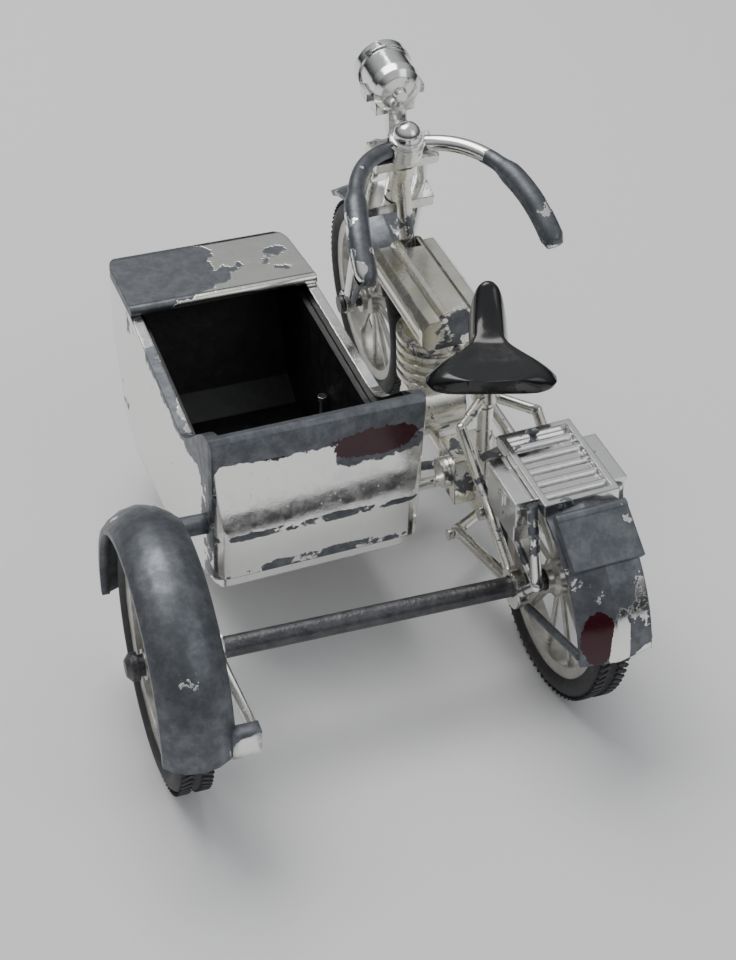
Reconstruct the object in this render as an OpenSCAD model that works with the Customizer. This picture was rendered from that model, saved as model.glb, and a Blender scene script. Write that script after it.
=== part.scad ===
// Free-rolling toy motorcycle with a sidecar on its left, plated die-cast metal.
// Front faces -Y, the sidecar is at +X, the tyres stand on z = 0.

/* [Wheels] */
// Outer radius of all three tyres
wheel_r = 9.5; // [8:0.1:12]
// Width of a tyre
tyre_w = 2.8; // [2.4:0.1:3.2]
// Radius of the seat where a tyre sits on its rim
rim_r = 7.7; // [6.4:0.1:7.8]
// Width of a rim
rim_w = 2.0; // [1.6:0.1:2.2]
// Radius of a hub
hub_r = 1.5; // [1.3:0.05:1.9]
// Width of a hub
hub_w = 3.0; // [2.4:0.1:3.4]
// Number of spokes in a wheel
spokes = 12; // [8:1:16]
// Thickness of a spoke
spoke_d = 0.5; // [0.4:0.05:0.7]
// Distance between the front and rear wheel centres
wheelbase = 41; // [38:0.5:50]
// Distance from the rear wheel to the sidecar wheel
track = 31; // [30:0.5:40]

/* [Axles] */
// Diameter of the long rear axle
axle_d = 1.6; // [1.2:0.05:1.8]
// Diameter of the front axle
front_axle_d = 1.1; // [0.8:0.05:1.4]
// Diameter of the peened heads on the axles
axle_head_d = 2.1; // [1.9:0.1:2.8]
// Thickness of an axle head
axle_head_t = 0.9; // [0.5:0.1:1.2]
// Running clearance all round in a turning bore
run_clear = 0.06; // [0.03:0.01:0.1]

/* [Stance] */
// Lean of the motorcycle towards the sidecar, degrees
bike_lean = 4; // [0:0.5:5]
// Angle of the sidecar body, nose away from the motorcycle, degrees
sidecar_toe = 3.5; // [0:0.5:5]
// Sideways place of the motorcycle's middle plane from its rear wheel
bike_x = 0.6; // [0:0.1:0.8]
// Turn of the saddle on its post, nose to the right, degrees
saddle_turn = 20; // [0:1:20]

/* [Frame] */
// Angle of the steering head from the vertical, degrees
rake = 21.5; // [15:0.5:28]
// Distance of the front axle ahead of the steering axis
fork_offset = 0.8; // [0.4:0.1:1.4]
// Outer diameter of the steering head tube
head_d = 2.2; // [2:0.1:2.6]
// Diameter of the steering pin
pin_d = 1.1; // [0.9:0.05:1.2]
// Height of the lower end of the head tube along the steering axis
head_s = 16; // [15.5:0.1:17]
// Length of the head tube
head_len = 4.2; // [3.8:0.1:5]
// Diameter of the frame tubes
tube_d = 1.3; // [1:0.05:1.6]
// Diameter of the thin stays
stay_d = 0.8; // [0.6:0.05:1]
// Sideways distance of the rear stays from the middle
stay_x = 3.2; // [3:0.05:3.6]
// Thickness of a rear axle lug
lug_t = 0.9; // [0.7:0.05:1.1]
// Distance of the saddle post ahead of the rear axle
post_y = 14; // [13.5:0.1:15]
// Diameter of the saddle post
post_d = 1.3; // [1.1:0.05:1.5]

/* [Mudguards] */
// Gap between the sidecar's tyre and the inside of its mudguard
guard_gap = 0.8; // [0.6:0.05:1.2]
// Thickness of a mudguard
guard_t = 0.6; // [0.5:0.05:0.9]
// Rise of the middle ridge of the bike's mudguards
guard_ridge = 0.5; // [0.3:0.05:0.9]
// Gap between the bike's tyres and their mudguards
bike_gap = 0.5; // [0.45:0.05:0.8]
// Width of the rear mudguard
rear_guard_w = 5.4; // [5:0.1:6]
// Width of the front mudguard
front_guard_w = 4.0; // [3.6:0.1:4.2]
// Width of the sidecar mudguard
side_guard_w = 5.0; // [4.8:0.1:6]
// Shift of the sidecar mudguard towards the tub
side_guard_in = 0.0; // [0:0.1:0.4]

/* [Tank and engine] */
// Width of the tank
tank_w = 6.2; // [5:0.1:6.6]
// Height of the tank's top face
tank_z = 20.6; // [19.8:0.1:21.2]
// Depth of the tank
tank_h = 2.8; // [2.6:0.1:3.6]
// Length of the tank
tank_len = 13; // [11:0.1:13.4]
// Width of the ridge along the tank
ridge_w = 2.6; // [2:0.1:3]
// Height of the ridge along the tank
ridge_h = 0.7; // [0.4:0.05:1]
// Radius of the engine barrel
barrel_r = 3.2; // [2.6:0.1:3.3]
// Radius of the crankcase
crank_r = 3.0; // [2.6:0.1:3.1]
// Width of the crankcase
crank_w = 3.8; // [3.2:0.1:4]

/* [Luggage] */
// Width of the rack
rack_w = 5.8; // [5.2:0.1:6]
// Length of the rack
rack_len = 8.5; // [8:0.1:9]
// Height of the rack's rim
rack_z = 20.4; // [20.4:0.1:21]
// Depth of the rack's side
rack_h = 1.0; // [0.9:0.1:1.1]
// Number of ribs across the rack
rack_ribs = 5; // [4:1:7]
// Width of the rear plate
plate_w = 5.4; // [5:0.1:6.4]
// Height of the rear plate
plate_h = 4; // [3:0.1:4.2]
// Thickness of the rear plate
plate_t = 0.7; // [0.5:0.05:0.8]
// Place of the rear plate round the wheel, degrees behind the top
plate_angle = 34; // [33:1:40]
// Thickness of a toolbox
box_w = 1.3; // [1:0.1:1.6]
// Length of a toolbox
box_len = 5.1; // [4:0.1:5.4]
// Height of a toolbox
box_h = 3.6; // [3:0.1:3.8]

/* [Handlebar and lamp] */
// Sideways reach of a grip's end
grip_x = 7.9; // [7:0.1:8.6]
// Distance of a grip's end behind the steering axis
grip_back = 13.4; // [12:0.1:13.6]
// Diameter of the bar
bar_d = 1.35; // [1.25:0.05:1.6]
// Diameter of a grip
grip_d = 1.9; // [1.7:0.05:2.2]
// Diameter of the lamp
lamp_d = 4.7; // [4:0.1:5.2]
// Length of the lamp
lamp_len = 4.4; // [3.6:0.1:5]
// Height of the lamp's centre
lamp_z = 34.1; // [33.8:0.1:35]

/* [Saddle] */
// Width across the saddle's wings
saddle_w = 9.8; // [8.6:0.1:10.2]
// Length of the saddle
saddle_len = 9.8; // [9:0.1:10.2]
// Height of the saddle's underside
saddle_z = 22.5; // [22.2:0.1:22.8]
// Thickness of the saddle's edge
saddle_t = 1.7; // [1.4:0.1:2]

/* [Sidecar] */
// Outside width of the tub at its rear panel
tub_w = 17; // [14:0.1:17.4]
// Outside width of the tub at its nose
nose_w = 16; // [13:0.1:17]
// Length of the tub
tub_len = 31; // [28:0.1:34]
// Height of the rear panel's top edge
tub_z = 21.4; // [20.8:0.1:22]
// Height of the tub's lower rear edge
sill_z = 9.1; // [8.6:0.1:9.6]
// Height of the tub's floor line under the footwell
belly_z = 5.2; // [4.8:0.1:6]
// Wall thickness of the tub
wall = 0.9; // [0.7:0.05:1.1]
// Height of the side walls at their lowest point
side_z = 17.2; // [16.6:0.1:18]
// Distance of the cowl's edge from the rear panel
cowl_v = 22.4; // [20:0.1:23.4]
// Height of the cowl's top
cowl_z = 19.9; // [19.4:0.1:20.4]
// Thickness of the cowl
cowl_t = 0.8; // [0.6:0.05:1]
// Thickness of the black insert
insert_t = 0.5; // [0.4:0.05:0.7]
// Sideways place of the tub's middle
tub_x = 16.8; // [16.6:0.1:18]
// Distance of the tub's rear panel ahead of the axle
tub_gap = 7.7; // [7.2:0.1:8.4]

/* [Hidden] */
$fn = 48;
eps = 0.02;

guard_in = wheel_r + guard_gap;
guard_out = guard_in + guard_t;
bike_in = wheel_r + bike_gap;
bike_out = bike_in + guard_t;
front_a0 = 58;
front_a1 = 146;
rear_a1 = 172;
axle_in = -(stay_x + lug_t / 2 + 0.5);
axle_out = track + hub_w / 2 + 0.4;
axis_y = -wheelbase + fork_offset / cos(rake);
nut_s = head_s + head_len + 2.65;

// outline box of the whole object in the layout's own frame, used to centre it
x_lo = bike_x - (grip_x + grip_d / 2 - 0.1) * cos(bike_lean) + 16.5 * sin(bike_lean);
x_hi = max(axle_out + axle_head_t, track - side_guard_in + side_guard_w / 2);
y_lo = -wheelbase - wheel_r;
y_hi = max(guard_out + 0.35, bike_out + guard_ridge);
shift = [-(x_lo + x_hi) / 2, -(y_lo + y_hi) / 2, 0];

// ---- places ----
module whole() { translate(shift) children(); }
module bike() { whole() translate([bike_x, 0, wheel_r]) rotate([0, bike_lean, 0]) translate([0, 0, -wheel_r]) children(); }
module fork() { bike() translate([0, axis_y, wheel_r]) rotate([-rake, 0, 0]) children(); }
// the tub's own frame: x across, y forward from the rear panel, z up from the ground
module tub() { whole() translate([tub_x, -tub_gap, 0]) rotate([0, 0, 180 + sidecar_toe]) children(); }

// ---- helpers ----
module rod(a, b, d) {
    v = b - a;
    l = norm(v);
    translate(a) rotate([0, acos(v[2] / l), atan2(v[1], v[0])]) cylinder(h = l, d = d, $fn = 24);
}
module ball(p, d) { translate(p) sphere(d = d, $fn = 24); }
module path(points, d) {
    for (i = [0:len(points) - 2]) rod(points[i], points[i + 1], d);
    for (i = [1:len(points) - 2]) ball(points[i], d * 1.08);
}
module bar_x(x0, x1, d) { translate([x0, 0, 0]) rotate([0, 90, 0]) cylinder(h = x1 - x0, d = d); }
module block(a, b) { translate(a) cube(b - a); }
module rear_axle_bore() {
    whole() translate([0, 0, wheel_r]) bar_x(-track, 2 * track, axle_d + 2 * run_clear);
}
// solid of revolution about the x axis through the origin, from angle a0 to a1,
// where 0 points forward and 90 points up
module around(a0, a1) {
    rotate([-a0, 0, 0]) rotate([0, 90, 0]) rotate([0, 0, -90])
        rotate_extrude(angle = -(a1 - a0), $fn = 96) children();
}

// ---- wheels ----
module rim_solid(bore) {
    difference() {
        union() {
            rotate([0, 90, 0]) rotate_extrude($fn = 96) polygon([
                [rim_r - 0.75, -rim_w / 2 + 0.15], [rim_r + 0.15, -rim_w / 2], [rim_r, -rim_w / 2 + 0.3],
                [rim_r, rim_w / 2 - 0.3], [rim_r + 0.15, rim_w / 2], [rim_r - 0.75, rim_w / 2 - 0.15]]);
            rotate([0, 90, 0]) rotate_extrude($fn = 48) polygon([
                [0, -hub_w / 2], [hub_r * 0.75, -hub_w / 2], [hub_r * 0.75, -hub_w / 2 + 0.5], [hub_r, -hub_w / 2 + 0.8],
                [hub_r, hub_w / 2 - 0.8], [hub_r * 0.75, hub_w / 2 - 0.5], [hub_r * 0.75, hub_w / 2], [0, hub_w / 2]]);
            for (i = [0:spokes - 1]) rotate([i * 360 / spokes, 0, 0])
                translate([0, 0, hub_r - 0.3]) cylinder(h = rim_r - hub_r, d = spoke_d, $fn = 16);
        }
        bar_x(-hub_w, hub_w, bore);
    }
}
module tyre_solid() {
    h = wheel_r - rim_r;
    rotate([0, 90, 0]) rotate_extrude($fn = 96) polygon([
        [rim_r, -rim_w / 2 + 0.35], [rim_r + 0.2, -rim_w / 2 + 0.05], [rim_r + 0.35 * h, -tyre_w / 2 + 0.05],
        [rim_r + 0.6 * h, -tyre_w / 2], [rim_r + 0.85 * h, -tyre_w / 2 + 0.2], [wheel_r, -tyre_w / 2 + 0.6],
        [wheel_r, -0.35], [wheel_r - 0.12, -0.25], [wheel_r - 0.12, 0.25], [wheel_r, 0.35],
        [wheel_r, tyre_w / 2 - 0.6], [rim_r + 0.85 * h, tyre_w / 2 - 0.2], [rim_r + 0.6 * h, tyre_w / 2],
        [rim_r + 0.35 * h, tyre_w / 2 - 0.05], [rim_r + 0.2, rim_w / 2 - 0.05], [rim_r, rim_w / 2 - 0.35]]);
}
module at_rear() { whole() translate([0, 0, wheel_r]) children(); }
module at_side() { whole() translate([track, 0, wheel_r]) children(); }
module at_front() { bike() translate([0, -wheelbase, wheel_r]) children(); }

module front_rim() { color("gainsboro") at_front() rim_solid(front_axle_d + 2 * run_clear); }
module front_tyre() { color("dimgray") at_front() tyre_solid(); }
module rear_rim() { color("gainsboro") at_rear() rim_solid(axle_d + 2 * run_clear); }
module rear_tyre() { color("dimgray") at_rear() tyre_solid(); }
module sidecar_rim() { color("gainsboro") at_side() rim_solid(axle_d + 2 * run_clear); }
module sidecar_tyre() { color("dimgray") at_side() tyre_solid(); }

module head_x(x, dir) {
    translate([x, 0, 0]) rotate([0, dir * 90, 0]) {
        cylinder(h = axle_head_t * 0.6, d = axle_head_d);
        translate([0, 0, axle_head_t * 0.6]) cylinder(h = axle_head_t * 0.4, d1 = axle_head_d, d2 = axle_head_d * 0.6);
    }
}
module rear_axle() {
    color("slategray") at_rear() {
        bar_x(axle_in, axle_out, axle_d);
        head_x(axle_in, -1);
        head_x(axle_out, 1);
    }
}
front_axle_x = front_guard_w / 2 + 1.1;
module front_axle() {
    color("slategray") at_front() {
        bar_x(-front_axle_x - 0.05, front_axle_x + 0.05, front_axle_d);
        for (s = [-1, 1]) translate([s * (front_axle_x + 0.05), 0, 0]) rotate([0, s * 90, 0]) cylinder(h = 0.4, d = front_axle_d + 0.6);
    }
}

// ---- bike frame ----
head_low = [0, axis_y + head_s * sin(rake), wheel_r + head_s * cos(rake)];
head_top = [0, axis_y + (head_s + head_len) * sin(rake), wheel_r + (head_s + head_len) * cos(rake)];
seat_top = [0, -post_y, 17.6];
down_top = [0, axis_y + (head_s + 0.8 * head_len) * sin(rake), wheel_r + (head_s + 0.8 * head_len) * cos(rake)];
crank_y = -25.5;
crank_z = 8.4;
cradle_z = crank_z - crank_r - tube_d / 2;
tank_back = -20;
tank_front = tank_back - tank_len;

module frame() {
    color("lightsteelblue") difference() {
        union() {
            bike() {
                // head tube
                rod(head_low, head_top, head_d);
                // down tube, cradle and seat tube, then the top tube under the tank
                path([down_top, [0, -29.8, 9.4], [0, -29.0, 5.4], [0, -26.6, cradle_z], [0, -post_y, cradle_z], seat_top], tube_d);
                path([[0, -31.2, tank_z - tank_h - tube_d / 2], [0, tank_back, tank_z - tank_h - tube_d / 2], seat_top + [0, 0, -0.3]], tube_d * 0.94);
                // post clamp
                translate([0, -post_y, seat_top[2] - 0.8]) cylinder(h = 1.6, d = post_d + 1.0);
                for (s = [-1, 1]) {
                    // chain stay, seat stay and axle lug
                    path([[0, -post_y, cradle_z], [s * stay_x, -post_y + 2.2, cradle_z + 0.6], [s * stay_x, 0, wheel_r]], stay_d * 1.25);
                    path([[0, -post_y, seat_top[2] - 0.5], [s * stay_x, -11.2, 16.6], [s * stay_x, 0, wheel_r]], stay_d * 1.1);
                    translate([s * stay_x - lug_t / 2, 0, wheel_r]) bar_x(0, lug_t, axle_d + 1.6);
                }
            }
        }
        rear_axle_bore();
        fork() translate([0, 0, head_s - 1]) cylinder(h = head_len + 2, d = pin_d + 2 * run_clear);
        bike() translate([0, -post_y, seat_top[2] - 1.6]) cylinder(h = 4, d = post_d);
    }
}
module fuel_tank() {
    color("silver") bike() difference() {
        union() {
            translate([0, tank_back, tank_z - tank_h]) rotate([90, 0, 0]) linear_extrude(tank_len) polygon([
                [-tank_w / 2 + 0.5, 0.1], [tank_w / 2 - 0.5, 0.1], [tank_w / 2, 0.6], [tank_w / 2, tank_h - 0.7], [tank_w / 2 - 0.6, tank_h],
                [ridge_w / 2 + 0.15, tank_h], [ridge_w / 2, tank_h + ridge_h * 0.7], [ridge_w / 2 - 0.4, tank_h + ridge_h],
                [-ridge_w / 2 + 0.4, tank_h + ridge_h], [-ridge_w / 2, tank_h + ridge_h * 0.7], [-ridge_w / 2 - 0.15, tank_h],
                [-tank_w / 2 + 0.6, tank_h], [-tank_w / 2, tank_h - 0.7], [-tank_w / 2, 0.6]]);
        }
        // panel grooves along both sides
        for (s = [-1, 1]) for (z = [0.35, 0.72])
            translate([s * tank_w / 2, tank_back - 0.8, tank_z - tank_h + z * tank_h]) rotate([90, 0, 0]) cylinder(h = tank_len - 1.6, d = 0.4, $fn = 16);
        // sloping nose and chamfered tail
        translate([0, tank_front - 0.2, tank_z - tank_h - 0.1]) rotate([-20, 0, 0]) translate([-tank_w, -5, -2]) cube([2 * tank_w, 5, 6]);
        // slot for the down tube, and room for the steering crown
        block([-tube_d / 2 - 0.06, tank_front - 2, tank_z - tank_h - 1], [tube_d / 2 + 0.06, -30.25, tank_z + 3]);
        fork_relief();
    }
}
module fork_relief() {
    translate([0, axis_y, wheel_r]) rotate([-rake, 0, 0])
        translate([-tank_w, -4, head_s - 3]) cube([2 * tank_w, 4 + 1.55 + 1.0, head_len + 6]);
}
module engine_crankcase() {
    color("lightgray") bike() translate([0, crank_y, crank_z]) difference() {
        union() {
            bar_x(-crank_w / 2, crank_w / 2, 2 * crank_r);
            bar_x(-crank_w / 2 - 0.5, crank_w / 2 + 0.5, 1.3 * crank_r);
            // magneto drive in front of the barrel foot
            translate([-1.2, -1.6, crank_r - 1.2]) cube([2.4, 3.2, 1.2]);
        }
        translate([0, 0, -crank_r - tube_d / 2]) rotate([90, 0, 0]) cylinder(h = 3 * crank_r, d = tube_d + 0.04, center = true);
    }
}
barrel_low = crank_z + crank_r;
barrel_top = tank_z - tank_h - tube_d - 0.2;
fins = 5;
module engine_barrel() {
    p = (barrel_top - barrel_low) / fins;
    color("silver") bike() translate([0, crank_y, 0]) {
        translate([0, 0, barrel_low]) cylinder(h = barrel_top - barrel_low, r = barrel_r - 0.5);
        for (i = [0:fins - 1]) translate([0, 0, barrel_low + p * (i + 0.25)]) cylinder(h = p / 2, r = barrel_r);
    }
}
module gearbox() {
    color("lightgray") bike() difference() {
        union() {
            translate([-2.2, -post_y - 4.4, cradle_z + tube_d / 2 + 0.02]) cube([4.4, 3.6, 4.6]);
            translate([0, -post_y - 2.6, cradle_z + 3]) bar_x(-2.9, 2.9, 2.6);
        }
        translate([0, -post_y, 0]) cylinder(h = 30, d = tube_d + 0.1);
    }
}
module exhaust() {
    x = -5.1;
    color("silver") bike() {
        path([[-barrel_r - 0.22, crank_y, barrel_low + 2.2], [x, crank_y - 0.3, barrel_low + 1.2], [x, crank_y + 1.2, crank_z - 1.4], [x, -12, 6.9]], 1.2);
        rod([x, -13.4, 6.9], [x, -5.5, 7.1], 2.2);
        rod([x, -5.7, 7.1], [x, -4.2, 7.2], 1.0);
    }
}
module footrests() {
    color("gray") bike() translate([0, -21, cradle_z]) {
        for (s = [-1, 1]) {
            rod([s * (tube_d / 2 + 0.02), 0, 0], [s * 3.2, 0, 0.3], 0.8);
            translate([s * 4.6 - 1.4, -0.9, -0.2]) cube([2.8, 1.8, 0.9]);
        }
    }
}

// ---- rear of the bike ----
rack_front = -5;
rack_back = rack_front + rack_len;
module roof_profile(w, r0, t, rise) {
    polygon([[r0, -w / 2], [r0 + rise, 0], [r0, w / 2], [r0 + t * 0.9, w / 2 + 0.12], [r0 + rise + t, 0], [r0 + t * 0.9, -w / 2 - 0.12]]);
}
module rear_mudguard() {
    color("lightslategray") bike() translate([0, 0, wheel_r]) {
        // the rack's tray closes the gap over the top of the wheel
        difference() {
            around(37, rear_a1) roof_profile(rear_guard_w, bike_in, guard_t, guard_ridge);
            block([-9, rack_front, 0], [9, rack_back, 20]);
        }
        // stays from the lower edge to the axle lugs
        for (s = [-1, 1]) rod([s * rear_guard_w / 2, -(bike_in + 0.25) * cos(rear_a1 - 4), (bike_in + 0.25) * sin(rear_a1 - 4)], [s * (stay_x - 0.2), axle_d / 2 + 1.15, -0.35], stay_d * 0.8);
    }
}
module luggage_rack() {
    p = rack_len / (rack_ribs + 1);
    color("silver") bike() translate([0, rack_front + rack_len / 2, rack_z - rack_h]) {
        difference() {
            translate([-rack_w / 2, -rack_len / 2, 0]) cube([rack_w, rack_len, rack_h]);
            translate([-rack_w / 2 + 0.5, -rack_len / 2 + 0.5, rack_h - 0.5]) cube([rack_w - 1, rack_len - 1, 1]);
        }
        for (i = [1:rack_ribs]) translate([-rack_w / 2 + 0.4, -rack_len / 2 + p * i, rack_h - 0.52])
            rotate([0, 90, 0]) cylinder(h = rack_w - 0.8, d = 0.7, $fn = 24);
    }
}
module rack_stays() {
    color("gray") bike() for (s = [-1, 1]) {
        top = [s * (rack_w / 2 + stay_d / 2 + 0.02), 2.3, rack_z - rack_h + 0.3];
        knee = [s * (stay_x + 0.2), 4.0, 13.4];
        foot = [s * (stay_x + 0.1), 1.5, wheel_r + 0.9];
        rod(top, knee, stay_d);
        rod(knee, foot, stay_d);
        ball(knee, stay_d * 1.3);
        rod(knee * 0.9 + foot * 0.1, [s * (stay_x + 0.2), 0.2, 14.6], stay_d * 0.7);
    }
}
module toolbox(s) {
    x0 = s > 0 ? rack_w / 2 + 0.05 : -rack_w / 2 - 0.05 - box_w;
    translate([x0, -3.4, rack_z - rack_h - 0.1 - box_h]) {
        difference() {
            cube([box_w, box_len, box_h]);
            // the stay passes behind the box
            translate([-1, box_len - 0.3, -1]) cube([3, 1, box_h - 1]);
        }
        translate([s > 0 ? -0.02 : -0.13, -0.1, box_h]) cube([box_w + 0.15, box_len + 0.2, 0.35]);
        translate([s > 0 ? box_w : -0.2, box_len / 2 - 0.4, box_h * 0.55]) cube([0.2, 0.8, 1.0]);
    }
}
module toolbox_left() { color("silver") bike() toolbox(1); }
module toolbox_right() { color("silver") bike() toolbox(-1); }
module rear_plate() {
    // stands on the mudguard's crown, square to the wheel's radius
    r = bike_out + guard_ridge + 0.02;
    color("slategray") bike() translate([0, 0, wheel_r]) rotate([-plate_angle, 0, 0]) {
        translate([-plate_w / 2, -plate_h / 2, r]) cube([plate_w, plate_h, plate_t]);
        translate([0, -plate_h / 2 + 0.1, r + plate_t * 0.5]) bar_x(-plate_w / 2, plate_w / 2, plate_t * 1.25);
    }
}
module side_rivets() {
    color("white") bike() for (s = [-1, 1]) for (p = [[-post_y + 2.6, cradle_z + 0.72], [-5.2, 12.9]])
        translate([s * (stay_x + stay_d * 0.625 + 0.03) + (s < 0 ? -0.45 : 0), p[0], p[1]]) bar_x(0, 0.45, 1.0);
}

// ---- saddle ----
boss_d = post_d + 1.2;
module saddle_post() {
    color("silver") bike() translate([0, -post_y, 0]) {
        translate([0, 0, seat_top[2] - 1.5]) cylinder(h = saddle_z - seat_top[2] + 1.3, d = post_d);
        translate([0, 0, saddle_z - 0.35]) cylinder(h = 2.0, d = post_d - 0.4);
    }
}
// half outline of the saddle seen from above: [distance behind the pivot, half width]
function saddle_half(u) = // u from 0 at the nose to 1 at the tail
    let (nose = saddle_w * 0.155, wing = saddle_w / 2,
         k = u < 0.42 ? 0 : (u - 0.42) / 0.40, m = k > 1 ? 1 : k, e = m * m * (3 - 2 * m),
         base = nose * (u < 0.16 ? sqrt(1 - pow((0.16 - u) / 0.16, 2)) : 1) + (wing - nose) * e,
         tail = u < 0.86 ? 1 : sqrt(max(0, 1 - pow((u - 0.86) / 0.14, 2))) * 0.62 + 0.38)
    base * tail;
saddle_nose = saddle_len * 0.24;
saddle_pts = 28;
module saddle_plan(g) {
    polygon(concat(
        [for (i = [0:saddle_pts]) let (u = i / saddle_pts) [-max(0.02, saddle_half(u) - g), -saddle_nose + g + u * (saddle_len - 2 * g)]],
        [for (i = [saddle_pts:-1:0]) let (u = i / saddle_pts) [max(0.02, saddle_half(u) - g), -saddle_nose + g + u * (saddle_len - 2 * g)]]));
}
module saddle() {
    color([0.1, 0.1, 0.1]) bike() translate([0, -post_y, saddle_z]) rotate([0, 0, -saddle_turn]) difference() {
        union() {
            linear_extrude(saddle_t * 0.55) saddle_plan(0);
            translate([0, 0, saddle_t * 0.55]) linear_extrude(saddle_t * 0.45) saddle_plan(0.35);
            // raised nose
            translate([0, -saddle_nose + saddle_w * 0.155 + 0.15, 0.4]) {
                cylinder(h = 2.0, r1 = saddle_w * 0.155, r2 = saddle_w * 0.14);
                translate([0, 0, 2.0]) scale(1) sphere(r = saddle_w * 0.14);
            }
            translate([0, -saddle_nose + saddle_w * 0.155 + 1.2, 0.4]) cylinder(h = 2.1, r1 = saddle_w * 0.16, r2 = saddle_w * 0.11);
        }
        translate([0, 0, -1]) cylinder(h = 2.7, d = post_d - 0.4 + 2 * run_clear);
    }
}

// ---- fork and handlebar (frame: z along the steering axis, y backwards) ----
crown_low = head_s - 0.12;
blade_x = front_guard_w / 2 + 0.65;
module steering_fork() {
    color("silver") {
        difference() {
            fork() {
                // steering pin
                translate([0, 0, head_s - 1.2]) cylinder(h = head_len + 2.2, d = pin_d);
                // lower crown
                translate([-blade_x - 0.45, -1.7, crown_low - 1.2]) cube([2 * blade_x + 0.9, 2.7, 1.2]);
                // upper crown
                translate([-blade_x - 0.1, -1.7, head_s + head_len + 0.12]) cube([2 * blade_x + 0.2, 2.7, 1.0]);
                for (s = [-1, 1]) {
                    rod([s * blade_x, -fork_offset, 0], [s * blade_x, -0.9, crown_low - 0.6], 0.9);
                    rod([s * blade_x, -0.9, crown_low - 0.6], [s * (blade_x - 0.4), -1.2, head_s + head_len + 0.6], 0.9);
                    ball([s * blade_x, -0.9, crown_low - 0.6], 0.98);
                    translate([s * blade_x - 0.45, -fork_offset, 0]) bar_x(0, 0.9, front_axle_d + 1.1);
                }
            }
            at_front() bar_x(-9, 9, front_axle_d);
        }
    }
}
module fork_springs() {
    color("gray") fork() for (s = [-1, 1]) translate([s * (head_d / 2 + 0.35), -2.25, crown_low + 0.02]) {
        cylinder(h = head_len + 0.2, d = 0.55, $fn = 16);
        for (i = [0:6]) translate([0, 0, 0.4 + i * head_len / 7]) cylinder(h = head_len / 14, d = 1.05, $fn = 24);
    }
}
module steering_nut() {
    color("white") fork() {
        translate([0, 0, nut_s]) {
            cylinder(h = 0.45, d = 2.9);
            translate([0, 0, 0.45]) intersection() {
                sphere(d = 2.4);
                translate([-2, -2, 0]) cube(4);
            }
        }
    }
}
function bez(t) = let (q = 1 - t, a = [0, 0, nut_s - 0.83], b = [0.66 * grip_x, 0, nut_s - 0.83], c = [0.92 * grip_x, 0.45 * grip_back, nut_s + 2.9], d = [grip_x, grip_back, nut_s + 0.2])
    q * q * q * a + 3 * q * q * t * b + 3 * q * t * t * c + t * t * t * d;
bar_rings = 30;
bar_sides = 16;
function bar_radius(t) = t < 0.03 ? bar_d / 2 : t < 0.55 ? bar_d / 2 : t > 0.985 ? grip_d * 0.42
    : let (k = min(1, (t - 0.55) / 0.12), e = k * k * (3 - 2 * k)) (bar_d + (grip_d - bar_d) * e) / 2 * (t > 0.96 ? 1.04 : 1);
// one smooth tube from grip to grip; k runs from the left end to the right end
function bar_point(k) = let (t = abs(k), p = bez(t)) [(k < 0 ? -1 : 1) * p[0], p[1], p[2]];
module bar_tube() {
    ks = [for (i = [-bar_rings:bar_rings]) let (k = i / bar_rings) if (abs(i) > 0) k];
    pts = [for (i = [0:len(ks) - 1]) let (
        p = bar_point(ks[i]),
        q0 = bar_point(ks[max(0, i - 1)]), q1 = bar_point(ks[min(len(ks) - 1, i + 1)]),
        dir = (q1 - q0) / norm(q1 - q0),
        u = cross(dir, [0, 0, 1]) / norm(cross(dir, [0, 0, 1])), w = cross(u, dir), r = bar_radius(abs(ks[i])))
        for (j = [0:bar_sides - 1]) p + r * (cos(j * 360 / bar_sides) * u + sin(j * 360 / bar_sides) * w)];
    rings = len(ks);
    n = bar_sides;
    polyhedron(points = pts, faces = concat(
        [[for (j = [n - 1:-1:0]) j]], [[for (j = [0:n - 1]) (rings - 1) * n + j]],
        [for (i = [0:rings - 2]) for (j = [0:n - 1]) let (a = i * n + j, b = i * n + (j + 1) % n) [a, b, b + n]],
        [for (i = [0:rings - 2]) for (j = [0:n - 1]) let (a = i * n + j, b = i * n + (j + 1) % n) [a, b + n, a + n]]), convexity = 6);
}
module handlebar() {
    // the bar passes through the clamp's cross hole
    color("slategray") fork() bar_tube();
}
module bar_clamp() {
    // two halves, one on each side of the bar
    color("silver") fork() difference() {
        translate([0, 0, head_s + head_len + 1.14]) cylinder(h = nut_s - head_s - head_len - 1.16, d = 3.2);
        translate([0, 0, nut_s - 0.83]) bar_x(-3, 3, bar_d + 0.5);
    }
}
lamp_back = axis_y + (nut_s + 2.85) * sin(rake) - 2.6;
module at_lamp() { bike() translate([0, lamp_back, lamp_z]) rotate([-8, 0, 0]) rotate([90, 0, 0]) children(); }
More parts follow.
